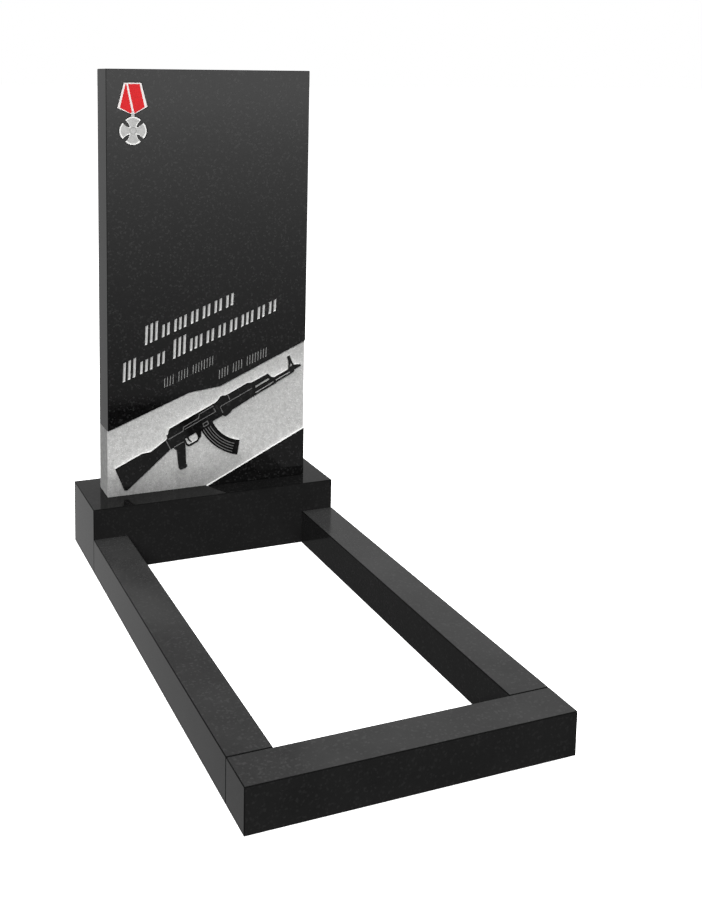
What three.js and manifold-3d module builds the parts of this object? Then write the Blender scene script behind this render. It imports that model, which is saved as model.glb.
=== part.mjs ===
// Granite war memorial: a standing stele on a plinth, with three kerb bars round an open bed.
// Millimetres, +Z up. The origin is on the ground, in the middle of the set; the carved face looks to -Y.
import * as THREE from 'three';
import { mergeVertices } from 'three/addons/utils/BufferGeometryUtils.js';
import Module from 'manifold-3d';

const wasm = await Module();
wasm.setup();

const blackGranite = 0x1c1c1e;

// Stele
const steleWidth = 500;
const steleHeight = 1000;
const steleThickness = 80;

// Plinth, sized by the ledges that it shows round the stele's foot
const plinthSideLedge = 50;
const plinthFrontLedge = 60;
const plinthHeight = 150;

// Kerb bars, and the length of the bed that they enclose
const kerbWidth = 80;
const kerbHeight = 80;
const bedLength = 880;

// Fits and edges
const jointGap = 0.5;
const edgeEase = 1.2;

// Depths of the carving behind the stele's polished face
const recessDepth = 6;
const grooveDepth = 1.2;
const strokeDepth = 1.2;
const cutterReach = 10;

// The carving below is drawn for a face of this width, from the middle of its foot, and grows with the stele
const drawnWidth = 500;
const carvingScale = steleWidth / drawnWidth;
const arcSteps = 10;

// Upper edge of the recess: its heights at the face's left and right edges, and the bends between them
const recessLeftRise = 162;
const recessRightRise = 342;
const recessBends = [[-50, 237.5], [27, 246]];
// Polished corner left standing at the lower right: where its slope leaves the foot and meets the edge
const cornerFoot = -5;
const cornerRise = 120;

// Places on the face: a point and a turn in degrees
const upright = { x: 0, z: 0, turn: 0 };
const alongRifle = { x: -100, z: 120, turn: 24.5 };
const alongRows = { x: -250, z: 162, turn: 20.7 };

// Rifle relief, drawn along its barrel: the solid shapes, the openings through them and the grooves
const stock = [
  [-4, 10], [-50, 2.5], [-70, 9.5], [-142, 9.5], [-145, -50], [-138, -53], [-8, -17.5], [-4, -17],
];
const receiver = [
  [-6, 9.5], [-1, 12], [0.5, 20], [5, 20], [9, 26.5], [14, 30.5], [146, 31],
  [146, -8], [116, -8], [115, -11.5], [35, -11.5], [33, -17], [-8, -17.5],
];
const forearm = [
  [140, 30.5], [150, 34], [157, 38], [163, 38], [170, 35], [176, 34], [232, 34.5], [242, 30], [288, 29.5],
  [291, 24], [294, 17], [300, 12.5], [345, 12.5], [345, -1], [300, -2], [299, -3.5], [295, -3.5], [240, -4],
  [172, -7.5], [158, -13], [149, -13], [144, -8],
];
const muzzle = [
  [340, 12.5], [346, 24], [349, 32], [350, 43], [358, 43], [357.5, 24], [359, 15.5], [367, 12.5], [373, 9],
  [375, 5], [374, 4], [356, 4], [351, -1], [340, -1],
];
const grip = [
  [3, -15], [3, -20], [7, -27], [-7, -70], [-5, -75], [5, -78], [12, -78], [15.5, -74], [14.5, -69],
  [30, -31], [34, -15],
];
const guard = [
  [33, -10], [33, -28], [36, -32.5], [41, -34.5], [62, -34.5], [70, -29], [75, -27], [80, -17], [84, -10],
];
const guardOpening = [[37, -12], [37, -26], [41, -30], [62, -30], [66, -27], [67.5, -22], [67, -12]];
const trigger = [[42, -10], [47, -10], [46, -18], [50, -28], [47, -27], [43, -21]];
const slots = [
  [[247, 13], [286, 13.5], [286, 17.5], [247, 17]],
  [[241, 0.5], [293.5, 2], [293.5, 4.5], [241, 3]],
  [[301, 2.5], [342, 3], [342, 5.5], [301, 5]],
  [[346.5, 16.5], [354, 16.5], [353, 24]],
];
const grooves = [
  [[-6, 12], [-5, -20]],
  [[0, 8], [41, 8], [46, 16], [88, 17], [93, 25], [133, 26]],
  [[46, 9.5], [132, 10], [131, 20]],
  [[91, -1], [104, -1], [104, -9], [91, -9], [91, -2.2]],
  [[176, 40], [176, 19]],
  [[147, -2], [147, 14], [152, 15.5], [238, 16]],
  [[5, -17], [31, -16.5]],
];
const grooveWidth = 2.2;

// Curved magazine: the circles of its rear and front edges, and the angles where they begin and end
const rearEdge = { x: 224, y: -3.6, radius: 143.1, start: 181, end: 232.2 };
const frontEdge = { x: 210.3, y: -7.1, radius: 95.4, start: 181, end: 236 };
const ribPlaces = [0.15, 0.34, 0.53, 0.71];
const ribStart = 0.07;
const ribEnd = 0.88;

// Rows of shallow slanted strokes, along lines that rise to the right
const boldStroke = { width: 6.5, height: 27, tall: 42, pitch: 13, groupGap: 5.5 };
const thinStroke = { width: 2, height: 21, tall: 21, pitch: 7.5, groupGap: 8 };
const strokeLean = 0.42;
const upperRow = 154;
const lowerRow = 94;
const leftThinRow = 38;
const rightThinRow = -2;
const strokeRows = [
  { start: 154, level: upperRow, groups: [3, 2, 3, 2, 2, 2, 2], stroke: boldStroke },
  { start: 74, level: lowerRow, groups: [3, 3, 2], stroke: boldStroke },
  { start: 205, level: lowerRow, groups: [3, 3, 2, 2, 2, 3, 2, 2], stroke: boldStroke },
  { start: 160, level: leftThinRow, groups: [4, 4, 8], stroke: thinStroke },
  { start: 292, level: rightThinRow, groups: [4, 4, 8], stroke: thinStroke },
];

// Sizes that follow from the ones above
const plinthWidth = steleWidth + 2 * plinthSideLedge;
const plinthDepth = steleThickness + 2 * plinthFrontLedge;
const sideBarLength = bedLength - 2 * jointGap;
const totalDepth = kerbWidth + bedLength + plinthDepth;
const bedFront = kerbWidth - totalDepth / 2;
const bedBack = bedFront + bedLength;

// A closed geometry as a solid that can be joined and cut
function toSolid(geometry) {
  geometry.deleteAttribute('normal');
  geometry.deleteAttribute('uv');
  const merged = mergeVertices(geometry, 1e-4);
  return new wasm.Manifold(new wasm.Mesh({
    numProp: 3,
    vertProperties: new Float32Array(merged.attributes.position.array),
    triVerts: new Uint32Array(merged.index.array),
  }));
}

function toGeometry(solid) {
  const mesh = solid.getMesh();
  const geometry = new THREE.BufferGeometry();
  geometry.setAttribute('position', new THREE.BufferAttribute(new Float32Array(mesh.vertProperties), 3));
  geometry.setIndex(new THREE.BufferAttribute(new Uint32Array(mesh.triVerts), 1));
  geometry.computeVertexNormals();
  return geometry;
}

function join(solids) {
  return solids.reduce((whole, solid) => whole.add(solid));
}

function outline(points) {
  return new THREE.Shape(points.map(([x, y]) => new THREE.Vector2(x, y)));
}

// Block with every arris eased, standing on z = 0 over the middle of its foot
function easedBlock(width, depth, height) {
  const x = width / 2;
  const y = depth / 2;
  const foot = outline([
    [-x + edgeEase, -y], [x - edgeEase, -y], [x, -y + edgeEase], [x, y - edgeEase],
    [x - edgeEase, y], [-x + edgeEase, y], [-x, y - edgeEase], [-x, -y + edgeEase],
  ]);
  const geometry = new THREE.ExtrudeGeometry(foot, {
    depth: height - 2 * edgeEase,
    bevelThickness: edgeEase,
    bevelSize: edgeEase,
    bevelOffset: -edgeEase,
    bevelSegments: 1,
  });
  geometry.translate(0, 0, edgeEase);
  return geometry;
}

// Flat shape drawn on the face and made solid between two depths behind it
function onFace(shape, place, from, to) {
  const geometry = new THREE.ExtrudeGeometry(shape, {
    depth: to - from,
    bevelEnabled: false,
    curveSegments: arcSteps,
  });
  geometry.rotateZ(THREE.MathUtils.degToRad(place.turn));
  geometry.translate(place.x, place.z, 0);
  geometry.scale(carvingScale, carvingScale, 1);
  geometry.rotateX(Math.PI / 2);
  geometry.translate(0, to - steleThickness / 2, 0);
  return toSolid(geometry);
}

function cut(shape, place, depth) {
  return onFace(shape, place, -cutterReach, depth);
}

function keep(shape, place) {
  return onFace(shape, place, -2 * cutterReach, recessDepth + cutterReach);
}

// Outline of a line of even width through the given points, with mitred corners
function ribbon(points, width) {
  const line = points.map(([x, y]) => new THREE.Vector2(x, y));
  const left = [];
  const right = [];
  line.forEach((point, i) => {
    const before = line[Math.max(i - 1, 0)];
    const after = line[Math.min(i + 1, line.length - 1)];
    const way = i === 0 ? after.clone().sub(point) : point.clone().sub(before);
    const normal = new THREE.Vector2(-way.y, way.x).normalize();
    if (i > 0 && i < line.length - 1) {
      const next = after.clone().sub(point);
      const mitre = normal.clone().add(new THREE.Vector2(-next.y, next.x).normalize()).normalize();
      normal.copy(mitre.divideScalar(mitre.dot(normal)));
    }
    left.push(point.clone().addScaledVector(normal, width / 2));
    right.unshift(point.clone().addScaledVector(normal, -width / 2));
  });
  return new THREE.Shape([...left, ...right]);
}

function onEdge(edge, share) {
  const angle = THREE.MathUtils.degToRad(edge.start + share * (edge.end - edge.start));
  return new THREE.Vector2(edge.x + edge.radius * Math.cos(angle), edge.y + edge.radius * Math.sin(angle));
}

function magazineShape() {
  const rear = [];
  const front = [];
  for (let i = 0; i <= arcSteps; i += 1) {
    rear.push(onEdge(rearEdge, i / arcSteps));
    front.unshift(onEdge(frontEdge, i / arcSteps));
  }
  return new THREE.Shape([...rear, ...front]);
}

// Rib groove that keeps its place between the magazine's two edges
function ribShape(place) {
  const points = [];
  for (let i = 0; i <= arcSteps; i += 1) {
    const share = ribStart + (ribEnd - ribStart) * (i / arcSteps);
    const point = onEdge(rearEdge, share).lerp(onEdge(frontEdge, share), place);
    points.push([point.x, point.y]);
  }
  return ribbon(points, grooveWidth);
}

function rifle() {
  const body = [stock, receiver, forearm, muzzle, grip, guard].map(outline);
  const solid = join([...body, magazineShape()].map((shape) => keep(shape, alongRifle)));
  const opening = keep(outline(guardOpening), alongRifle).subtract(keep(outline(trigger), alongRifle));
  const gaps = slots.map((slot) => keep(outline(slot), alongRifle));
  return solid.subtract(join([opening, ...gaps]));
}

// Everything sunk to the recess floor: the band, less the rifle and the polished corner
function recess() {
  const edge = drawnWidth / 2;
  const past = edge + cutterReach;
  const band = outline([
    [-past, -cutterReach], [past, -cutterReach], [past, recessRightRise], [edge, recessRightRise],
    ...[...recessBends].reverse(), [-edge, recessLeftRise], [-past, recessLeftRise],
  ]);
  const slope = cornerRise / (edge - cornerFoot);
  const corner = outline([
    [cornerFoot - 2 * cutterReach / slope, -2 * cutterReach], [2 * past, -2 * cutterReach],
    [2 * past, (2 * past - cornerFoot) * slope],
  ]);
  return cut(band, upright, recessDepth).subtract(keep(corner, upright)).subtract(rifle());
}

function strokes({ start, level, groups, stroke }) {
  const solids = [];
  let x = start;
  groups.forEach((count, group) => {
    for (let i = 0; i < count; i += 1) {
      const height = group === 0 ? stroke.tall : stroke.height;
      const shift = height * strokeLean;
      const shape = outline([
        [x, level], [x + stroke.width, level],
        [x + stroke.width + shift, level + height], [x + shift, level + height],
      ]);
      solids.push(cut(shape, alongRows, strokeDepth));
      x += stroke.pitch;
    }
    x += stroke.groupGap;
  });
  return join(solids);
}

function steleGeometry() {
  const lines = [...grooves.map((points) => ribbon(points, grooveWidth)), ...ribPlaces.map(ribShape)];
  const cuts = [
    recess(),
    ...lines.map((shape) => cut(shape, alongRifle, grooveDepth)),
    ...strokeRows.map(strokes),
  ];
  const block = toSolid(easedBlock(steleWidth, steleThickness, steleHeight));
  return toGeometry(block.subtract(join(cuts)));
}

function piece(name, geometry, x, y, z) {
  const material = new THREE.MeshStandardMaterial({
    color: blackGranite,
    roughness: 0.15,
    metalness: 0,
    flatShading: true,
  });
  const mesh = new THREE.Mesh(geometry, material);
  mesh.name = name;
  mesh.position.set(x, y, z);
  return mesh;
}

const kerbSide = (plinthWidth - kerbWidth) / 2;
const frontBarMiddle = bedFront - kerbWidth / 2;
const sideBarMiddle = bedFront + bedLength / 2;
const plinthMiddle = bedBack + plinthDepth / 2;
const sideBar = easedBlock(kerbWidth, sideBarLength, kerbHeight);
const frontBar = easedBlock(plinthWidth, kerbWidth, kerbHeight);
const plinth = easedBlock(plinthWidth, plinthDepth, plinthHeight);

const memorial = new THREE.Group();
memorial.add(
  piece('stele', steleGeometry(), 0, plinthMiddle, plinthHeight),
  piece('plinth', plinth, 0, plinthMiddle, 0),
  piece('kerb_left', sideBar, -kerbSide, sideBarMiddle, 0),
  piece('kerb_right', sideBar.clone(), kerbSide, sideBarMiddle, 0),
  piece('kerb_front', frontBar, 0, frontBarMiddle, 0),
);

export default memorial;
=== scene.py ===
"""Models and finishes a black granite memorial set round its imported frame."""

import math

import bpy
from mathutils import Matrix, Vector


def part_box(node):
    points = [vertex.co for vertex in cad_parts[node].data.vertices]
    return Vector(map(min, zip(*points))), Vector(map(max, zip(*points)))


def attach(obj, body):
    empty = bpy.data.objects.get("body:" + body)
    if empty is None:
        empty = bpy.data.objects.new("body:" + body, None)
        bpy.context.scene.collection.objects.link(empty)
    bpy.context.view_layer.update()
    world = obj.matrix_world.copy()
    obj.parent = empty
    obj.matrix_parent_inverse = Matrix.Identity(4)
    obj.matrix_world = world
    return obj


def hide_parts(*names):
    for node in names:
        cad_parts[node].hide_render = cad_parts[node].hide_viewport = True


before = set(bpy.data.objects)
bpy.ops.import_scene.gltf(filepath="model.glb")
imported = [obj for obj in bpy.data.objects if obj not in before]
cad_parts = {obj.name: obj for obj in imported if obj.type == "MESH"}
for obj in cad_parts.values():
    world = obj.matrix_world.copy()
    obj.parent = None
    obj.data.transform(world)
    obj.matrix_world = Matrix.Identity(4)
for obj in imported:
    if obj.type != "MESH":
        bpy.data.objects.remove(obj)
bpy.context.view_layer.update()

bl_info = {
    "name": "Granite Memorial Set",
    "version": (1, 0, 0),
    "blender": (4, 5, 0),
    "location": "View3D > Sidebar > Memorial",
    "description": "Carved stele, plinth and kerb bars in polished and hammered granite",
    "category": "Add Mesh",
}

# The stele in metres: its box, the depths that its node has, and where the band and the rows lie
STELE_LOW, STELE_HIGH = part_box("stele")
FACE_Y = STELE_LOW.y
FOOT_Z = STELE_LOW.z
HALF_WIDTH = STELE_HIGH.x
ARRIS_WIDTH = 0.0011
RECESS_DEPTH = 0.006
STROKE_DEPTH = 0.0012
DEEPEST_CARVING = 0.02
LEFT_BAND_TOP = 0.160
RIGHT_BAND_TOP = 0.342
BAND_CLEARANCE = 0.004
ROW_START = 0.162
ROW_TURN = math.radians(20.7)
THIN_ROWS_TOP = 0.075
LONGEST_STROKE_END = 0.008
STROKE_LIP = 0.0002

# The hammered floor: how far its net reaches over the band, and its grit against its pits
NET_MARGIN = 0.005
GRIT_SIZE = 0.4
GRIT_DEPTH = 0.6

# Shaping: segments of a rounded arris, and the degrees past which an edge is shown sharp
ARRIS_SEGMENTS = 4
STELE_SHARP = 30
BLOCK_SHARP = 40

# Tolerances: lengths in metres, an angle, and how squarely a face has to look along an axis
MERGE_DISTANCE = 0.000001
CLOSE = 0.00005
SIDE_REACH = 0.0001
FLOOR_REACH = 0.0005
FOOT_REACH = 0.001
SIDE_ARRIS_REACH = 0.002
FLAT_ANGLE = math.radians(0.5)
SQUARE = 0.995
MOSTLY = 0.9
PARTLY = 0.3


def length_property(name, description, value, least):
    return bpy.props.FloatProperty(
        name=name, description=description, default=value, min=least, unit="LENGTH",
        subtype="DISTANCE")


def colour_property(name, description, value):
    return bpy.props.FloatVectorProperty(
        name=name, description=description, default=value, size=3, min=0.0, max=1.0,
        subtype="COLOR")


class MemorialSizes(bpy.types.PropertyGroup):
    arris: length_property(
        "Arris", "Radius of the eased edges of the plinth and bars", 0.0016, 0.0002)
    hammer_pitch: length_property(
        "Hammer pitch", "Spacing of the points that shape the hammered floor", 0.0018, 0.001)
    hammer_depth: length_property(
        "Hammer depth", "Depth of the pits that the hammer leaves", 0.0007, 0.0)
    pit_size: length_property(
        "Pit size", "Width of one hammered pit", 0.005, 0.001)
    bold_depth: length_property(
        "Bold stroke depth", "Depth of the bold strokes along their middle", 0.0026, 0.0002)
    thin_depth: length_property(
        "Thin stroke depth", "Depth of the thin strokes along their middle", 0.0016, 0.0002)
    inlay_depth: length_property(
        "Inlay depth", "Depth of each layer of the medal's coloured fields", 0.00008, 0.00002)


class MemorialColours(bpy.types.PropertyGroup):
    mirror: colour_property(
        "Mirror polish", "The stele's polished faces", (0.0025, 0.0025, 0.0025))
    side: colour_property(
        "Side polish", "Upright faces of the plinth and bars", (0.0115, 0.0115, 0.0115))
    # Darker than the bars' tops: painted shade on the plinth's top, under the stele
    ledge: colour_property(
        "Ledge polish", "The plinth's top", (0.0033, 0.0033, 0.0033))
    # Lighter than the upright faces: painted light on the bars' tops
    kerb: colour_property(
        "Kerb polish", "Tops of the bars", (0.0172, 0.0172, 0.0172))
    ground_edge: colour_property(
        "Ground edge", "Eased edges of every block", (0.003, 0.003, 0.003))
    hammered: colour_property(
        "Hammered", "Bruised granite of the band and beside it", (0.53, 0.53, 0.523))
    frosted: colour_property(
        "Frosted", "Slopes of the strokes and the rifle's grooves", (0.50, 0.50, 0.495))
    ribbon: colour_property(
        "Ribbon", "Enamel of the ribbon", (0.58, 0.019, 0.023))
    edging: colour_property(
        "Edging", "White edging of the ribbon", (0.74, 0.70, 0.69))
    silver: colour_property(
        "Silver", "Silver grey of the cross", (0.44, 0.44, 0.432))
    silver_rim: colour_property(
        "Silver rim", "Light rim of the cross", (0.80, 0.80, 0.785))


def sizes():
    return bpy.context.scene.memorial_sizes


def colours():
    return bpy.context.scene.memorial_colours


# Modelling


def pick(piece):
    """Selects one piece alone and makes it active."""
    bpy.ops.object.select_all(action="DESELECT")
    piece.select_set(True)
    bpy.context.view_layer.objects.active = piece


def edit(piece):
    pick(piece)
    bpy.ops.object.mode_set(mode="EDIT")


def leave():
    bpy.ops.object.mode_set(mode="OBJECT")


def choose(piece, kind, wanted):
    """In edit mode, selects the faces or edges that wanted() accepts, and no others."""
    bpy.ops.mesh.select_mode(type=kind)
    bpy.ops.mesh.select_all(action="DESELECT")
    leave()
    items = piece.data.polygons if kind == "FACE" else piece.data.edges
    chosen = [item for item in items if wanted(item)]
    if not chosen:
        raise RuntimeError(f"{piece.name} has no {kind.lower()} to shape at this step")
    for item in chosen:
        item.select = True
    bpy.ops.object.mode_set(mode="EDIT")


def use_modifier(piece, name, kind, **settings):
    """Adds a modifier to a piece and applies it."""
    pick(piece)
    modifier = piece.modifiers.new(name, kind)
    for key, value in settings.items():
        setattr(modifier, key, value)
    bpy.ops.object.modifier_apply(modifier=modifier.name)


def named(name):
    """Names the object that was just added, and its mesh."""
    piece = bpy.context.object
    piece.name = name
    piece.data.name = name
    return piece


def finish_piece(piece, node):
    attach(piece, "root")
    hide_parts(node)


def give(piece, *names):
    """Gives a piece these materials in place of its own."""
    piece.data.materials.clear()
    for name in names:
        piece.data.materials.append(bpy.data.materials[name])


def by_place(piece, chooser):
    """Gives each face of a piece the material that chooser() names."""
    names = [material.name for material in piece.data.materials]
    for face in piece.data.polygons:
        face.material_index = names.index(chooser(face))


def smooth(piece, angle):
    """Shades a piece smooth, apart from edges sharper than this angle in degrees."""
    pick(piece)
    bpy.ops.object.shade_smooth_by_angle(angle=math.radians(angle))


def is_turned(normal):
    """True for a face that doesn't look squarely along X, Y or Z, such as an eased edge."""
    return max(abs(part) for part in normal) < SQUARE


def keep_flat(piece):
    """Shades the broad polished faces flat, so that only the eased edges look round."""
    hammered = piece.data.materials.find("hammered_granite")
    edit(piece)
    choose(piece, "FACE", lambda face: not is_turned(face.normal)
           and face.material_index != hammered)
    bpy.ops.mesh.faces_shade_flat()
    leave()


# Node building

NODE_COLUMN = 180
NODE_ROW = 120
NODE_ROWS = 3
OUTPUT_PLACE = (3000, 0)
FLOAT = "NodeSocketFloat"
VECTOR = "NodeSocketVector"


class Nodes:
    """Adds and joins the nodes of one tree, set out from left to right."""

    def __init__(self, tree):
        self.tree = tree
        self.count = 0

    def add(self, kind, values=None, **settings):
        """A new node with these values on its sockets and these settings of its own."""
        node = self.tree.nodes.new(kind)
        node.location = (self.count * NODE_COLUMN, -NODE_ROW * (self.count % NODE_ROWS))
        self.count += 1
        for key, value in settings.items():
            setattr(node, key, value)
        for key, value in (values or {}).items():
            self.put(node.inputs[key], value)
        return node

    def put(self, socket, value):
        """Joins another node's output to a socket, or sets the socket to a plain value."""
        if isinstance(value, bpy.types.NodeSocket):
            self.tree.links.new(value, socket)
        else:
            socket.default_value = value

    def math(self, operation, a, b):
        node = self.add("ShaderNodeMath", operation=operation)
        self.put(node.inputs[0], a)
        self.put(node.inputs[1], b)
        return node.outputs[0]

    def line(self, value, low, high, to_low, to_high, kind="LINEAR"):
        """Maps low..high to to_low..to_high, clamped."""
        node = self.add("ShaderNodeMapRange", interpolation_type=kind)
        for index, item in enumerate((value, low, high, to_low, to_high)):
            self.put(node.inputs[index], item)
        return node.outputs[0]

    def ramp(self, value, low=0.0, high=1.0, to_low=0.0, to_high=1.0):
        """The same, eased at both ends."""
        return self.line(value, low, high, to_low, to_high, "SMOOTHSTEP")

    def mix(self, share, a, b):
        """Colour a, with this share of colour b."""
        node = self.add("ShaderNodeMix", data_type="RGBA")
        for name, item in (("Factor", share), ("A", a), ("B", b)):
            wanted = "NodeSocketFloatFactor" if name == "Factor" else "NodeSocketColor"
            socket = next(s for s in node.inputs if s.name == name and s.bl_idname == wanted)
            self.put(socket, item)
        return next(s for s in node.outputs if s.bl_idname == "NodeSocketColor")

    def noise(self, vector, scale, detail, rough):
        node = self.add("ShaderNodeTexNoise", {
            "Vector": vector, "Scale": scale, "Detail": detail, "Roughness": rough})
        return node.outputs["Fac"]

    def waves(self, vector, scale, direction, distortion, detail):
        node = self.add("ShaderNodeTexWave", {
            "Vector": vector, "Scale": scale, "Distortion": distortion, "Detail": detail},
            bands_direction=direction)
        return node.outputs["Fac"]

    def cells(self, vector, scale):
        """A random value for each crystal."""
        node = self.add("ShaderNodeTexVoronoi", {"Vector": vector, "Scale": scale})
        split = self.add("ShaderNodeSeparateColor", {"Color": node.outputs["Color"]})
        return split.outputs["Red"]


def new_group(name, inputs, outputs):
    """A node group with these sockets: its Nodes, what comes in and the sockets going out."""
    tree = bpy.data.node_groups.new(name, "ShaderNodeTree")
    for label, kind, value in inputs:
        socket = tree.interface.new_socket(label, in_out="INPUT", socket_type=kind)
        if value is not None:
            socket.default_value = value
    for label, kind in outputs:
        tree.interface.new_socket(label, in_out="OUTPUT", socket_type=kind)
    nodes = Nodes(tree)
    source = nodes.add("NodeGroupInput").outputs
    sink = tree.nodes.new("NodeGroupOutput")
    sink.location = OUTPUT_PLACE
    return nodes, source, sink.inputs


def put_group(nodes, name, place, **values):
    """The outputs of a node group placed in a material with its own values."""
    node = nodes.add("ShaderNodeGroup", node_tree=bpy.data.node_groups[name])
    nodes.put(node.inputs["Vector"], place)
    for key, value in values.items():
        node.inputs[key.replace("_", " ").title()].default_value = value
    return node.outputs


def new_material(name):
    """The Nodes of a new material, its Principled shader and the place on the object."""
    material = bpy.data.materials.new(name)
    material.use_nodes = True
    nodes = Nodes(material.node_tree)
    shader = nodes.tree.nodes["Principled BSDF"]
    place = nodes.add("ShaderNodeTexCoord").outputs["Object"]
    return nodes, shader, place


def set_surface(nodes, shader, colour, rough, gloss):
    """Joins a colour and a roughness to a shader, and sets its gloss."""
    nodes.put(shader.inputs["Base Color"], colour)
    nodes.put(shader.inputs["Roughness"], rough)
    shader.inputs["Specular IOR Level"].default_value = gloss


def set_relief(nodes, shader, height, strength, distance):
    """Gives a shader a fine relief. A height of 1 stands this distance out, in metres."""
    bump = nodes.add("ShaderNodeBump", {
        "Height": height, "Strength": strength, "Distance": distance})
    nodes.put(shader.inputs["Normal"], bump.outputs[0])


def toned(value, factor):
    return tuple(part * factor for part in value)


def rgba(value, factor):
    return (*toned(value, factor), 1.0)


# The stone's effects

# How far a crystal's outline wanders, in metres, three scales against a mark's own, the painted foot
# shade's patchiness
CRYSTAL_WOBBLE = 0.0007
RELIEF_SCALE = 0.45
FINE_SCALE = 2.6
BROAD_SCALE = 0.35
FOOT_SHADE_UNEVENNESS = 0.3


def build_crystals():
    """Crystals of the stone: sparse light flecks, a fine grain and a slow cloudiness."""
    nodes, source, sink = new_group(
        "stone_crystals",
        [("Vector", VECTOR, None), ("Crystal Size", FLOAT, 0.0012), ("Fleck Share", FLOAT, 0.15)],
        [("Fleck", FLOAT), ("Grain", FLOAT), ("Cloud", FLOAT), ("Relief", FLOAT)])
    place = source["Vector"]
    scale = nodes.math("DIVIDE", 1.0, source["Crystal Size"])
    wobble = nodes.add("ShaderNodeTexNoise", {"Vector": place, "Scale": scale, "Detail": 1.0})
    offset = nodes.add("ShaderNodeVectorMath", operation="SCALE")
    nodes.put(offset.inputs[0], wobble.outputs["Color"])
    nodes.put(offset.inputs["Scale"], CRYSTAL_WOBBLE)
    moved = nodes.add("ShaderNodeVectorMath", operation="ADD")
    nodes.put(moved.inputs[0], place)
    nodes.put(moved.inputs[1], offset.outputs[0])
    crystal = nodes.cells(moved.outputs[0], scale)
    first_fleck = nodes.math("SUBTRACT", 1.0, source["Fleck Share"])
    nodes.put(sink["Fleck"], nodes.ramp(crystal, low=first_fleck))
    nodes.put(sink["Grain"], crystal)
    nodes.put(sink["Cloud"], nodes.noise(place, scale=9.0, detail=4.0, rough=0.6))
    relief_scale = nodes.math("MULTIPLY", scale, RELIEF_SCALE)
    nodes.put(sink["Relief"], nodes.noise(place, relief_scale, detail=2.0, rough=0.6))


def build_bruise():
    """Marks of the hammer: broken white points, dark chips and a cloudy tone."""
    nodes, source, sink = new_group(
        "hammer_bruise",
        [("Vector", VECTOR, None), ("Mark Size", FLOAT, 0.004)],
        [("Tone", FLOAT), ("Chip", FLOAT), ("Point", FLOAT), ("Height", FLOAT)])
    place = source["Vector"]
    scale = nodes.math("DIVIDE", 1.0, source["Mark Size"])
    fine_scale = nodes.math("MULTIPLY", scale, FINE_SCALE)
    broad_scale = nodes.math("MULTIPLY", scale, BROAD_SCALE)
    broad = nodes.noise(place, broad_scale, detail=4.0, rough=0.65)
    marks = nodes.noise(place, scale, detail=3.0, rough=0.7)
    tone = nodes.math("ADD", nodes.math("MULTIPLY", broad, 0.5), nodes.math("MULTIPLY", marks, 0.5))
    chips = nodes.noise(place, scale, detail=2.0, rough=0.6)
    points = nodes.cells(place, fine_scale)
    nodes.put(sink["Tone"], nodes.ramp(tone, low=0.36, high=0.64))
    nodes.put(sink["Chip"], nodes.ramp(chips, low=0.64, high=0.74))
    nodes.put(sink["Point"], nodes.ramp(points, low=0.88, high=0.98))
    nodes.put(sink["Height"], nodes.noise(place, fine_scale, detail=3.0, rough=0.7))


def build_foot_shade():
    """Painted shade: a darker tone towards the stele's foot, in uneven patches."""
    nodes, source, sink = new_group(
        "foot_shade",
        [("Vector", VECTOR, None), ("Foot", FLOAT, 0.15), ("Reach", FLOAT, 0.1)],
        [("Shade", FLOAT)])
    place = source["Vector"]
    height = nodes.add("ShaderNodeSeparateXYZ", {"Vector": place}).outputs["Z"]
    share = nodes.math("DIVIDE", nodes.math("SUBTRACT", height, source["Foot"]), source["Reach"])
    patches = nodes.noise(place, scale=22.0, detail=3.0, rough=0.6)
    uneven = nodes.math("ADD", share, nodes.math("MULTIPLY", patches, FOOT_SHADE_UNEVENNESS))
    nodes.put(sink["Shade"], nodes.ramp(uneven, high=1.15, to_low=0.62, to_high=0.0))


# The materials

# Tones of the stone, as multiples of a finish's own colour
DARK_CLOUD, LIGHT_CLOUD = 0.9, 1.1
GRAIN_TONE = 2.0
FLECK_TONE = 10.0
DARK_EDGE, LIGHT_EDGE = 0.6, 1.4
CHIP_TONE = 0.35
POINT_TONE = 1.5
# Tone of the painted shade at the stele's foot
FOOT_SHADE_TONE = 0.1

# Height of the painted shade over the stele's foot, in metres
FOOT_SHADE_REACH = 0.1

# Fixed colours: the sawn undersides and the line round the medal
SAWN_DARK = (0.05, 0.05, 0.051, 1.0)
SAWN_LIGHT = (0.13, 0.13, 0.13, 1.0)
OUTLINE_BLACK = (0.003, 0.003, 0.003)


def polished_granite(name, tint, rough, gloss, fleck, relief):
    """Black granite, polished: dark ground, fine grain and sparse light crystals."""
    nodes, shader, place = new_material(name)
    stone = put_group(nodes, "stone_crystals", place, crystal_size=0.0036, fleck_share=0.22)
    clouds = nodes.ramp(stone["Cloud"], low=0.3, high=0.7)
    ground = nodes.mix(clouds, rgba(tint, DARK_CLOUD), rgba(tint, LIGHT_CLOUD))
    grain_share = nodes.math("MULTIPLY", stone["Grain"], fleck)
    grain = nodes.mix(grain_share, ground, rgba(tint, GRAIN_TONE))
    fleck_share = nodes.math("MULTIPLY", stone["Fleck"], fleck)
    colour = nodes.mix(fleck_share, grain, rgba(tint, FLECK_TONE))
    worn = nodes.ramp(stone["Grain"], to_low=rough, to_high=2 * rough)
    set_surface(nodes, shader, colour, worn, gloss)
    set_relief(nodes, shader, stone["Relief"], strength=relief, distance=0.00025)


def ground_edge(tint):
    """Eased edges, left as the grinder makes them: darker and duller than the polish."""
    nodes, shader, place = new_material("ground_edge")
    stone = put_group(nodes, "stone_crystals", place, crystal_size=0.0015, fleck_share=0.2)
    colour = nodes.mix(stone["Grain"], rgba(tint, DARK_EDGE), rgba(tint, LIGHT_EDGE))
    rough = nodes.ramp(stone["Grain"], to_low=0.35, to_high=0.55)
    set_surface(nodes, shader, colour, rough, gloss=0.08)


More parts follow.
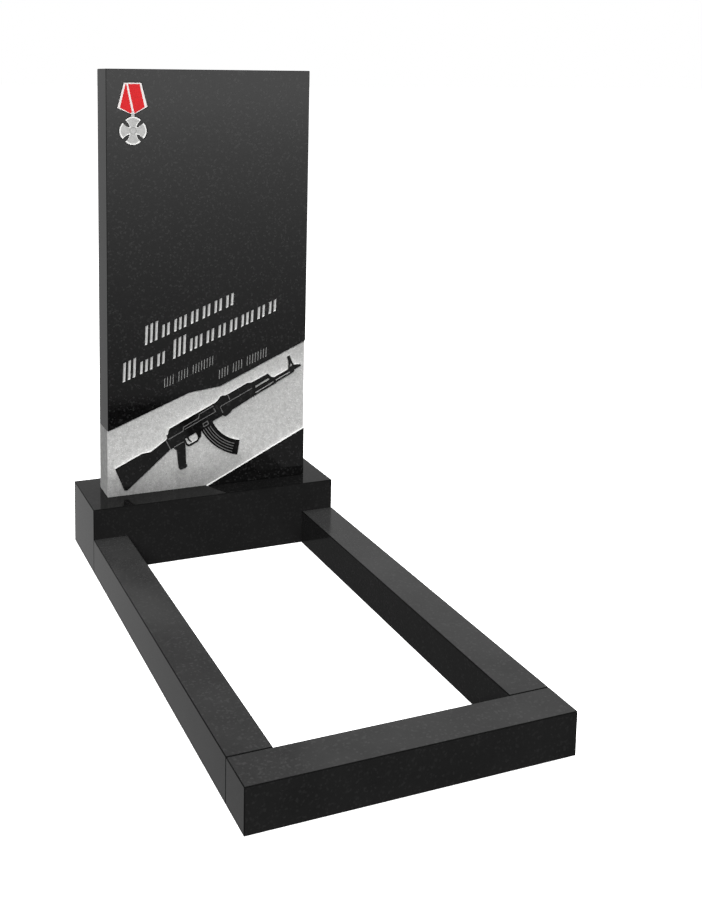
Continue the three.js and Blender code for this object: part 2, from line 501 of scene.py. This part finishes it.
def sawn_granite():
    """Undersides: dull, with the slow lines of the saw."""
    nodes, shader, place = new_material("sawn_granite")
    stone = put_group(nodes, "stone_crystals", place, crystal_size=0.002, fleck_share=0.3)
    lines = nodes.waves(place, scale=40.0, direction="Y", distortion=1.5, detail=2.0)
    colour = nodes.mix(nodes.math("MULTIPLY", stone["Grain"], 0.6), SAWN_DARK, SAWN_LIGHT)
    rough = nodes.ramp(stone["Grain"], to_low=0.6, to_high=0.8)
    set_surface(nodes, shader, colour, rough, gloss=0.5)
    set_relief(nodes, shader, lines, strength=0.3, distance=0.0004)


def bruised_granite(name, tint, mark_size, contrast, chips, points, painted_foot_shade=False):
    """Granite broken by the tool: hammered floors, frosted walls and strokes, and sides; some copies
    carry painted shade or painted highlight in their tone.
    """
    nodes, shader, place = new_material(name)
    marks = put_group(nodes, "hammer_bruise", place, mark_size=mark_size)
    ground = nodes.mix(marks["Tone"], rgba(tint, 1 - contrast), rgba(tint, 1 + contrast))
    chip_share = nodes.math("MULTIPLY", marks["Chip"], chips)
    chipped = nodes.mix(chip_share, ground, rgba(tint, CHIP_TONE))
    point_share = nodes.math("MULTIPLY", marks["Point"], points)
    colour = nodes.mix(point_share, chipped, rgba(tint, POINT_TONE))
    # Painted shade: the tone darkens towards the stele's foot
    if painted_foot_shade:
        shade = put_group(nodes, "foot_shade", place, foot=FOOT_Z, reach=FOOT_SHADE_REACH)["Shade"]
        colour = nodes.mix(shade, colour, rgba(tint, FOOT_SHADE_TONE))
    rough = nodes.ramp(marks["Height"], to_low=0.75, to_high=0.95)
    set_surface(nodes, shader, colour, rough, gloss=0.2)
    set_relief(nodes, shader, marks["Height"], strength=0.5, distance=0.0005)


def enamel(name, tint, ribs, contrast):
    """Colour fired into the stone, with fine ribs like a woven ribbon's."""
    nodes, shader, place = new_material(name)
    tone = nodes.noise(place, scale=160.0, detail=3.0, rough=0.6)
    lines = nodes.waves(place, scale=ribs, direction="Z", distortion=0.4, detail=2.0)
    share = nodes.math("ADD", nodes.math("MULTIPLY", tone, 0.7), nodes.math("MULTIPLY", lines, 0.3))
    woven = nodes.ramp(share, low=0.3, high=0.75)
    colour = nodes.mix(woven, rgba(tint, 1 - contrast), rgba(tint, 1 + contrast))
    rough = nodes.ramp(tone, to_low=0.3, to_high=0.45)
    set_surface(nodes, shader, colour, rough, gloss=0.25)


def build_polishes(tint):
    polished_granite("mirror_granite", tint.mirror, rough=0.05, gloss=0.5, fleck=0.6, relief=0.15)
    polished_granite("side_polish", tint.side, rough=0.08, gloss=0.06, fleck=0.06, relief=0.1)
    # The plinth's top: polish with painted shade in its darker tint
    polished_granite("ledge_polish", tint.ledge, rough=0.04, gloss=0.06, fleck=0.15, relief=0.1)
    # The bars' tops: polish with painted light in its lighter tint
    polished_granite("kerb_polish", tint.kerb, rough=0.12, gloss=0.075, fleck=0.04, relief=0.1)


def build_broken_finishes(tint):
    bruised_granite("hammered_granite", tint.hammered,
                    mark_size=0.004, contrast=0.16, chips=0.8, points=0.8, painted_foot_shade=True)
    # The hammered tone lifted by a tenth: frosted walls with a painted highlight where they face the
    # light
    bruised_granite("frosted_wall", toned(tint.hammered, 1.1),
                    mark_size=0.003, contrast=0.08, chips=0.1, points=0.2)
    # The hammered finish at two thirds of its tone: painted shade on the stele's sides below the
    # band
    bruised_granite("light_side", toned(tint.hammered, 0.67),
                    mark_size=0.004, contrast=0.2, chips=0.4, points=0.4)
    bruised_granite("frosted_stroke", tint.frosted,
                    mark_size=0.002, contrast=0.15, chips=0.2, points=0.3)
    bruised_granite("fine_stroke", toned(tint.frosted, 0.6),
                    mark_size=0.002, contrast=0.2, chips=0.2, points=0.3)
    bruised_granite("rifle_groove", toned(tint.frosted, 0.32),
                    mark_size=0.002, contrast=0.2, chips=0.2, points=0.3)


def build_enamels(tint):
    enamel("medal_outline", OUTLINE_BLACK, ribs=300.0, contrast=0.1)
    enamel("ribbon_white", tint.edging, ribs=400.0, contrast=0.04)
    enamel("ribbon_red", tint.ribbon, ribs=700.0, contrast=0.12)
    enamel("medal_rim", tint.silver_rim, ribs=300.0, contrast=0.06)
    enamel("medal_silver", tint.silver, ribs=260.0, contrast=0.14)
    enamel("medal_shade", toned(tint.silver, 0.7), ribs=260.0, contrast=0.1)


def build_materials():
    """Builds every finish, unless they are there already."""
    if "mirror_granite" in bpy.data.materials:
        return
    build_foot_shade()
    build_crystals()
    build_bruise()
    tint = colours()
    build_polishes(tint)
    ground_edge(tint.ground_edge)
    sawn_granite()
    build_broken_finishes(tint)
    build_enamels(tint)


# The stele


def start_stele():
    """A merged copy of the frame's stele, which holds the recess, the rifle and the strokes."""
    piece = bpy.data.objects.new("granite_stele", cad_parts["stele"].data.copy())
    bpy.context.scene.collection.objects.link(piece)
    edit(piece)
    bpy.ops.mesh.select_all(action="SELECT")
    bpy.ops.mesh.remove_doubles(threshold=MERGE_DISTANCE)
    bpy.ops.mesh.dissolve_limited(angle_limit=FLAT_ANGLE)
    bpy.ops.mesh.customdata_custom_splitnormals_clear()
    leave()
    give(piece, "mirror_granite", "sawn_granite", "ground_edge", "hammered_granite",
         "frosted_wall", "light_side", "frosted_stroke", "fine_stroke", "rifle_groove")
    return piece


def row_height(place):
    """Height of a place on the face over the line that the rows of strokes follow."""
    across, up = place.x + HALF_WIDTH, place.z - FOOT_Z - ROW_START
    return up * math.cos(ROW_TURN) - across * math.sin(ROW_TURN)


def above_band(place):
    """True for a place on the face above the band's upper edge."""
    share = (place.x + HALF_WIDTH) / (2 * HALF_WIDTH)
    edge = LEFT_BAND_TOP + BAND_CLEARANCE + share * (RIGHT_BAND_TOP - LEFT_BAND_TOP)
    return place.z - FOOT_Z > edge


def on_outer_arris(place):
    """True for the eased edges round the face."""
    return (abs(place.x) > HALF_WIDTH - ARRIS_WIDTH or place.z < FOOT_Z + ARRIS_WIDTH
            or place.z > STELE_HIGH.z - ARRIS_WIDTH)


def sharpen_strokes(piece):
    """Turns the flat floor of each stroke into a cut with two slopes and hipped ends."""
    mesh = piece.data
    old_count = len(mesh.vertices)

    def on_stroke_floor(vertex):
        return abs(vertex.co.y - FACE_Y - STROKE_DEPTH) < CLOSE and above_band(vertex.co)

    def is_end(edge):
        first, last = (mesh.vertices[index] for index in edge.vertices)
        return (on_stroke_floor(first) and on_stroke_floor(last)
                and (first.co - last.co).length < LONGEST_STROKE_END)

    floor = {vertex.index for vertex in mesh.vertices if on_stroke_floor(vertex)}
    edit(piece)
    choose(piece, "EDGE", is_end)
    bpy.ops.mesh.subdivide(number_cuts=1)
    leave()
    widths = {}
    for edge in mesh.edges:
        first, last = edge.vertices
        for new, corner in ((first, last), (last, first)):
            if new >= old_count > corner and corner in floor:
                gap = (mesh.vertices[new].co - mesh.vertices[corner].co).length
                widths[new] = min(gap, widths.get(new, gap))
    middles = [tuple(edge.vertices) for edge in mesh.edges if min(edge.vertices) >= old_count]
    for first, last in middles:
        start, end = mesh.vertices[first].co.copy(), mesh.vertices[last].co.copy()
        along = (end - start).normalized()
        bold = row_height(start) > THIN_ROWS_TOP
        depth = sizes().bold_depth if bold else sizes().thin_depth
        for index, place, way in ((first, start, along), (last, end, -along)):
            moved = place + way * widths[index]
            moved.y = FACE_Y + depth
            mesh.vertices[index].co = moved
    for index in floor:
        mesh.vertices[index].co.y = FACE_Y + STROKE_LIP


def split_sides(piece):
    """Parts the stele's sides at the band's height, so that each share has its own finish."""
    for side, top in ((-1, LEFT_BAND_TOP), (1, RIGHT_BAND_TOP)):
        edit(piece)
        choose(piece, "FACE", lambda face: side * face.center.x > HALF_WIDTH - SIDE_ARRIS_REACH
               and face.normal.x * side > PARTLY)
        bpy.ops.mesh.bisect(plane_co=(0, 0, FOOT_Z + top), plane_no=(0, 0, 1))
        leave()


def stele_material(face):
    """Which finish a face of the stele has, by its place and the way it faces."""
    centre, normal = face.center, face.normal
    depth = centre.y - FACE_Y
    if normal.z < -MOSTLY and centre.z < FOOT_Z + FOOT_REACH:
        return "sawn_granite"
    if abs(normal.x) > MOSTLY and abs(centre.x) > HALF_WIDTH - SIDE_REACH:
        top = LEFT_BAND_TOP if centre.x < 0 else RIGHT_BAND_TOP
        # Below the band the sides get the hammered finish with painted shade
        return "light_side" if centre.z - FOOT_Z < top else "mirror_granite"
    outside = depth > DEEPEST_CARVING or on_outer_arris(centre)
    if is_turned(normal) and outside:
        return "ground_edge"
    if depth < CLOSE or outside:
        return "mirror_granite"
    if above_band(centre):
        return "frosted_stroke" if row_height(centre) > THIN_ROWS_TOP else "fine_stroke"
    if depth > RECESS_DEPTH - FLOOR_REACH:
        return "hammered_granite"
    # Recess walls: frosted, with a painted highlight in their tone
    return "frosted_wall" if depth > STROKE_DEPTH + CLOSE else "rifle_groove"


def hammer_floor(piece):
    """Cuts the recess floor into a fine net and sinks its points as a bush hammer does."""
    pitch = sizes().hammer_pitch
    pit_size = sizes().pit_size
    pit_depth = sizes().hammer_depth
    edit(piece)
    choose(piece, "FACE", lambda face: face.normal.y < -SQUARE
           and abs(face.center.y - FACE_Y - RECESS_DEPTH) < CLOSE)
    bpy.ops.mesh.hide(unselected=True)
    columns = int(2 * HALF_WIDTH / pitch)
    rows = int((RIGHT_BAND_TOP + NET_MARGIN) / pitch)
    cuts = [((pitch * (index + 0.5) - HALF_WIDTH, 0, 0), (1, 0, 0)) for index in range(columns)]
    cuts += [((0, 0, FOOT_Z + pitch * (index + 0.5)), (0, 0, 1)) for index in range(rows)]
    for place, normal in cuts:
        bpy.ops.mesh.select_all(action="SELECT")
        bpy.ops.mesh.bisect(plane_co=place, plane_no=normal)
    bpy.ops.mesh.reveal(select=False)
    leave()
    sunk = piece.vertex_groups.new(name="hammered")
    sunk.add([vertex.index for vertex in piece.data.vertices
              if abs(vertex.co.y - FACE_Y - RECESS_DEPTH) < CLOSE], 1.0, "REPLACE")
    layers = (("hammer_pits", "VORONOI", pit_size, pit_depth),
              ("hammer_grit", "CLOUDS", pit_size * GRIT_SIZE, pit_depth * GRIT_DEPTH))
    for name, kind, size, depth in layers:
        marks = bpy.data.textures.new(name, kind)
        marks.noise_scale = size
        use_modifier(piece, name, "DISPLACE", texture=marks, texture_coords="LOCAL",
                     vertex_group="hammered", direction="Y", strength=-depth, mid_level=1.0)


# The medal, in millimetres to the right of the face's middle and up from the stele's foot

RIBBON = [(-208, 969), (-167.5, 969), (-153, 915), (-187, 896.5), (-223.5, 912.5)]
RIBBON_LEFT = [(-204.3, 966.3), (-202.4, 966.3), (-189.6, 903), (-193, 899.7), (-217.3, 913)]
RIBBON_RIGHT = [(-198.6, 966.3), (-171, 966.3), (-159.5, 914), (-182.5, 900), (-184.8, 904)]
LINK = [(-190.7, 900), (-184, 900), (-182.6, 888), (-192, 888)]
LINK_HOLE = (-188, 903)
CROSS_CENTRE = (-187, 860.5)
CROSS_FLARE = 1.9
CROSS_STEPS = 7
RING_POINTS = 32
HOLE_POINTS = 12
MILLIMETRES_IN_METRE = 1000

# How far a cutter starts in front of the face, in metres
INLAY_CLEARANCE = 0.002


def grown(outline, margin):
    """The outline with each point moved out from its middle."""
    middle = Vector((sum(u for u, v in outline), sum(v for u, v in outline))) / len(outline)
    return [tuple(Vector(point) + (Vector(point) - middle).normalized() * margin)
            for point in outline]


def ring(centre, radius, count):
    turns = [2 * math.pi * index / count for index in range(count)]
    return [(centre[0] + radius * math.cos(turn), centre[1] + radius * math.sin(turn))
            for turn in turns]


def cross(waist, tip_width, tip_height, reach):
    """A cross with four flared arms that end in arcs."""
    steps = CROSS_STEPS
    side = [(waist + (tip_width - waist) * (step / steps) ** CROSS_FLARE,
             waist + (tip_height - waist) * step / steps) for step in range(steps + 1)]
    tip = math.atan2(tip_height, tip_width)
    edge = math.hypot(tip_width, tip_height)
    arc = []
    for step in range(1, 2 * steps):
        share = step / (2 * steps)
        turn = tip + (math.pi - 2 * tip) * share
        radius = edge + (reach - edge) * math.sin(math.pi * share)
        arc.append((radius * math.cos(turn), radius * math.sin(turn)))
    arm = side + arc + [(-x, y) for x, y in reversed(side)][:-1]
    points = []
    for quarter in range(4):
        cos, sin = round(math.cos(quarter * math.pi / 2)), round(math.sin(quarter * math.pi / 2))
        points += [(CROSS_CENTRE[0] + x * cos - y * sin, CROSS_CENTRE[1] + x * sin + y * cos)
                   for x, y in arm]
    return points


def inlay(piece, outline, layer, material):
    """Sinks a coloured field of this outline into the face, to this layer's depth."""
    depth = sizes().inlay_depth * layer
    bpy.ops.object.select_all(action="DESELECT")
    bpy.ops.mesh.primitive_circle_add(vertices=len(outline), fill_type="NGON")
    cutter = named("inlay_cutter")
    for vertex, (u, v) in zip(cutter.data.vertices, outline):
        vertex.co = (u / MILLIMETRES_IN_METRE, FACE_Y - INLAY_CLEARANCE,
                     FOOT_Z + v / MILLIMETRES_IN_METRE)
    edit(cutter)
    bpy.ops.mesh.select_all(action="SELECT")
    bpy.ops.mesh.extrude_region_move(
        TRANSFORM_OT_translate={"value": (0, INLAY_CLEARANCE + depth, 0)})
    bpy.ops.mesh.select_all(action="SELECT")
    bpy.ops.mesh.normals_make_consistent(inside=False)
    leave()
    cutter.data.materials.append(bpy.data.materials[material])
    use_modifier(piece, "inlay", "BOOLEAN", operation="DIFFERENCE", object=cutter,
                 solver="MANIFOLD", material_mode="TRANSFER")
    bpy.data.objects.remove(cutter)


def inlay_medal(piece):
    """The ribbon, its link and the cross, as flat fields of colour."""
    fields = (
        (grown(RIBBON, margin=2.2), 1, "medal_outline"),
        (cross(waist=6, tip_width=19.5, tip_height=26.5, reach=34), 1, "medal_outline"),
        (RIBBON, 2, "ribbon_white"),
        (RIBBON_LEFT, 3, "ribbon_red"),
        (RIBBON_RIGHT, 3, "ribbon_red"),
        (LINK, 3, "medal_silver"),
        (ring(LINK_HOLE, 1.3, HOLE_POINTS), 4, "medal_outline"),
        (cross(waist=8, tip_width=18, tip_height=24.6, reach=31.8), 4, "medal_rim"),
        (cross(waist=6, tip_width=14.5, tip_height=22.6, reach=29.2), 5, "medal_silver"),
        (ring(CROSS_CENTRE, 8.3, RING_POINTS), 6, "medal_shade"),
        (ring(CROSS_CENTRE, 6.4, RING_POINTS), 7, "medal_silver"),
    )
    for outline, layer, material in fields:
        inlay(piece, outline, layer, material)


def model_stele():
    """The whole stele, from the frame's solid to its finished faces."""
    piece = start_stele()
    sharpen_strokes(piece)
    split_sides(piece)
    by_place(piece, stele_material)
    inlay_medal(piece)
    hammer_floor(piece)
    smooth(piece, STELE_SHARP)
    keep_flat(piece)
    finish_piece(piece, "stele")


# The plinth and the kerb


def granite_block(name, low, high):
    """A block from low to high, with rounded arrises."""
    bpy.ops.object.select_all(action="DESELECT")
    bpy.ops.mesh.primitive_cube_add(size=1, location=(low + high) / 2, scale=high - low)
    piece = named(name)
    bpy.ops.object.transform_apply(location=True, rotation=True, scale=True)
    use_modifier(piece, "arris", "BEVEL", width=sizes().arris, segments=ARRIS_SEGMENTS,
                 limit_method="ANGLE")
    return piece


def model_block(name, node, top_finish):
    """A block in the place of a node, with its own finish on top."""

    def block_material(face):
        if face.normal.z < -MOSTLY:
            return "sawn_granite"
        if is_turned(face.normal):
            return "ground_edge"
        return top_finish if face.normal.z > MOSTLY else "side_polish"

    piece = granite_block(name, *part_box(node))
    give(piece, "side_polish", "sawn_granite", "ground_edge", top_finish)
    by_place(piece, block_material)
    smooth(piece, BLOCK_SHARP)
    keep_flat(piece)
    finish_piece(piece, node)


# The stage

# The camera: lens and sensor in millimetres, place in metres
LENS = 57.23
SENSOR = 36.0
SHIFT = (0.16524, -0.32764)
CAMERA_PLACE = (-0.86335, -2.01924, 1.12461)
YAW, PITCH, ROLL = math.radians(20.62), math.radians(-7.10), math.radians(0.45)
NEAREST, FURTHEST = 0.05, 300

# The floor: its size in metres, and how the camera sees it
FLOOR_SIZE = 400
PAPER = (0.50, 0.50, 0.50, 1.0)
PAPER_GLOW = 0.88

# What the stone mirrors of the floor to its left: where it ends in X and changes in Y, its levels
CARD_EDGE = (-0.305, -0.295)
CARD_CHANGE = (1.05, 1.4)
SIDE_CARD = 0.62
STELE_CARD = 0.33

# What it mirrors of the floor ahead: two distances, as powers of ten of a metre, and their levels
FLOOR_REACHES = (-0.05, 2.0)
FLOOR_LIGHT = 0.25
FRONT_FLOOR_LIGHT = 1.58

# The room as the stone mirrors it: the way to each light, the cosines over which it grows, its gain
LIGHT_AHEAD = ((0.33, -0.94, 0.1), 0.72, 0.97, 1.5)
LIGHT_BEHIND = ((0.3, 0.95, 0.0), 0.4, 0.8, 0.65)
LIGHT_BESIDE = ((-0.25, 0.97, 0.0), 0.88, 0.97, 0.21)
ROOM_LIGHT = 0.12

# The room's soft light, from just under the horizon up to straight overhead
UNDER_HORIZON = -0.1
SOFT_LIGHT = 0.12
SOFT_SKY = 0.8

# Soft boxes: name, place, aim, width and height in metres, and power in watts
SOFT_BOXES = (
    ("key_light", (-2.0, -4.0, 2.6), (0.0, 0.0, 0.4), (1.6, 1.6), 235.0),
    ("top_light", (0.0, 0.6, 4.5), (0.0, 0.3, 0.0), (4.0, 2.4), 425.0),
)
WHITE = (1.0, 1.0, 1.0, 1.0)


def set_camera():
    """The camera at the photograph's place, with the shift that its framing needs."""
    bpy.ops.object.camera_add()
    camera = bpy.context.object
    camera.name = "camera"
    forward = Vector((math.sin(YAW) * math.cos(PITCH), math.cos(YAW) * math.cos(PITCH),
                      math.sin(PITCH)))
    level = Vector((math.cos(YAW), -math.sin(YAW), 0))
    upright = level.cross(forward)
    right = math.cos(ROLL) * level + math.sin(ROLL) * upright
    up = right.cross(forward)
    turn = Matrix((right, up, -forward)).transposed().to_4x4()
    camera.matrix_world = Matrix.Translation(CAMERA_PLACE) @ turn
    data = camera.data
    data.sensor_fit = "HORIZONTAL"
    data.sensor_width = SENSOR
    data.lens = LENS
    data.shift_x, data.shift_y = SHIFT
    data.clip_start, data.clip_end = NEAREST, FURTHEST
    bpy.context.scene.camera = camera


def mix_shaders(nodes, share, first, second):
    node = nodes.add("ShaderNodeMixShader")
    for socket, value in zip(node.inputs, (share, first, second)):
        nodes.put(socket, value)
    return node.outputs[0]


def set_floor():
    """A plain pale floor. What the stone reflects of it is darker, as with black cards."""
    bpy.ops.mesh.primitive_plane_add(size=FLOOR_SIZE)
    floor = named("studio_floor")
    nodes, shader, place = new_material("studio_floor")
    paper = nodes.add("ShaderNodeBsdfDiffuse", {"Color": PAPER}).outputs[0]
    glow = nodes.add("ShaderNodeEmission", {"Strength": PAPER_GLOW}).outputs[0]
    pale = nodes.add("ShaderNodeAddShader")
    nodes.put(pale.inputs[0], paper)
    nodes.put(pale.inputs[1], glow)
    spot = nodes.add("ShaderNodeSeparateXYZ", {"Vector": place}).outputs
    beside = nodes.ramp(spot["X"], *CARD_EDGE, to_low=1.0, to_high=0.0)
    card = nodes.ramp(spot["Y"], *CARD_CHANGE, to_low=SIDE_CARD, to_high=STELE_CARD)
    side = nodes.math("MULTIPLY", beside, card)
    reach = nodes.math("LOGARITHM", nodes.math("SUBTRACT", FACE_Y, spot["Y"]), 10.0)
    ahead = nodes.ramp(reach, *FLOOR_REACHES, to_low=FLOOR_LIGHT, to_high=FRONT_FLOOR_LIGHT)
    rays = nodes.add("ShaderNodeLightPath").outputs
    level = nodes.math("MULTIPLY", nodes.math("MAXIMUM", side, ahead), rays["Is Glossy Ray"])
    mirrored = nodes.add("ShaderNodeEmission", {"Strength": level}).outputs[0]
    mixed = mix_shaders(nodes, rays["Is Camera Ray"], mirrored, pale.outputs[0])
    nodes.put(nodes.tree.nodes["Material Output"].inputs["Surface"], mixed)
    nodes.tree.nodes.remove(shader)
    floor.data.materials.append(bpy.data.materials["studio_floor"])


def add_soft_light(name, place, aim, size, power):
    """A soft box that lights the stone but isn't mirrored in it."""
    bpy.ops.object.light_add(type="AREA", location=place)
    light = bpy.context.object
    light.name = name
    light.rotation_euler = (Vector(aim) - Vector(place)).to_track_quat("-Z", "Y").to_euler()
    light.data.shape = "RECTANGLE"
    light.data.size, light.data.size_y = size
    light.data.energy = power
    light.visible_glossy = False


def set_world():
    """White behind the set, and for the stone a dim room with light ahead, behind and beside."""
    world = bpy.data.worlds.new("studio_world")
    bpy.context.scene.world = world
    world.use_nodes = True
    nodes = Nodes(world.node_tree)
    nodes.tree.nodes.remove(nodes.tree.nodes["Background"])
    toward = nodes.add("ShaderNodeTexCoord").outputs["Generated"]
    height = nodes.add("ShaderNodeSeparateXYZ", {"Vector": toward}).outputs["Z"]

    def lobe(direction, start, end, gain):
        node = nodes.add("ShaderNodeVectorMath", operation="DOT_PRODUCT")
        nodes.put(node.inputs[0], toward)
        nodes.put(node.inputs[1], Vector(direction).normalized())
        return nodes.ramp(node.outputs["Value"], start, end, to_high=gain)

    near_horizon = nodes.ramp(height, low=0.2, high=0.34, to_low=1.0, to_high=0.25)
    above_horizon = nodes.ramp(height, low=0.15, high=0.3)
    ahead = nodes.math("MULTIPLY", lobe(*LIGHT_AHEAD), near_horizon)
    behind = nodes.math("MULTIPLY", lobe(*LIGHT_BEHIND), above_horizon)
    beside = nodes.math("ADD", lobe(*LIGHT_BESIDE), ROOM_LIGHT)
    mirrored = nodes.math("ADD", nodes.math("ADD", ahead, behind), beside)
    soft = nodes.line(height, UNDER_HORIZON, 1.0, SOFT_LIGHT, SOFT_SKY)
    rays = nodes.add("ShaderNodeLightPath").outputs
    level = nodes.line(rays["Is Glossy Ray"], 0.0, 1.0, soft, mirrored)
    room = nodes.add("ShaderNodeBackground", {"Color": WHITE, "Strength": level}).outputs[0]
    white = nodes.add("ShaderNodeBackground", {"Color": WHITE, "Strength": 1.0}).outputs[0]
    mixed = mix_shaders(nodes, rays["Is Camera Ray"], room, white)
    nodes.put(nodes.tree.nodes["World Output"].inputs["Surface"], mixed)


def set_look():
    scene = bpy.context.scene
    scene.view_settings.view_transform = "Standard"
    scene.view_settings.look = "None"
    scene.cycles.use_denoising = True


# Operators


class MEMORIAL_OT_stage(bpy.types.Operator):
    """Adds the floor, the studio light and the camera"""
    bl_idname = "memorial.stage"
    bl_label = "Studio Stage"

    def execute(self, context):
        set_look()
        set_world()
        set_floor()
        for soft_box in SOFT_BOXES:
            add_soft_light(*soft_box)
        set_camera()
        return {"FINISHED"}


class MEMORIAL_OT_materials(bpy.types.Operator):
    """Builds the granite and enamel materials"""
    bl_idname = "memorial.materials"
    bl_label = "Materials"

    def execute(self, context):
        build_materials()
        return {"FINISHED"}


class MEMORIAL_OT_stele(bpy.types.Operator):
    """Models the carved stele with its hammered band, strokes and medal"""
    bl_idname = "memorial.stele"
    bl_label = "Carved Stele"

    def execute(self, context):
        model_stele()
        return {"FINISHED"}


class MEMORIAL_OT_plinth(bpy.types.Operator):
    """Models the plinth block"""
    bl_idname = "memorial.plinth"
    bl_label = "Plinth"

    def execute(self, context):
        model_block("granite_plinth", "plinth", "ledge_polish")
        return {"FINISHED"}


class MEMORIAL_OT_kerb(bpy.types.Operator):
    """Models the three kerb bars"""
    bl_idname = "memorial.kerb"
    bl_label = "Kerb Bars"

    def execute(self, context):
        for side in ("left", "right", "front"):
            model_block("granite_kerb_" + side, "kerb_" + side, "kerb_polish")
        return {"FINISHED"}


class MEMORIAL_PT_panel(bpy.types.Panel):
    bl_label = "Memorial"
    bl_idname = "MEMORIAL_PT_panel"
    bl_space_type = "VIEW_3D"
    bl_region_type = "UI"
    bl_category = "Memorial"

    def draw(self, context):
        layout = self.layout
        for operator in STEPS:
            layout.operator(operator.bl_idname)
        for group in (sizes(), colours()):
            column = layout.column(align=True)
            for name in group.bl_rna.properties.keys():
                if name not in ("rna_type", "name"):
                    column.prop(group, name)


STEPS = (MEMORIAL_OT_stage, MEMORIAL_OT_materials, MEMORIAL_OT_stele, MEMORIAL_OT_plinth,
         MEMORIAL_OT_kerb)
CLASSES = (MemorialSizes, MemorialColours) + STEPS + (MEMORIAL_PT_panel,)


def register():
    for item in CLASSES:
        bpy.utils.register_class(item)
    bpy.types.Scene.memorial_sizes = bpy.props.PointerProperty(type=MemorialSizes)
    bpy.types.Scene.memorial_colours = bpy.props.PointerProperty(type=MemorialColours)


def unregister():
    del bpy.types.Scene.memorial_colours
    del bpy.types.Scene.memorial_sizes
    for item in reversed(CLASSES):
        bpy.utils.unregister_class(item)


def main():
    """Registers the add-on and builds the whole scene."""
    register()
    bpy.ops.memorial.stage()
    bpy.ops.memorial.materials()
    bpy.ops.memorial.stele()
    bpy.ops.memorial.plinth()
    bpy.ops.memorial.kerb()


if __name__ == "__main__":
    main()
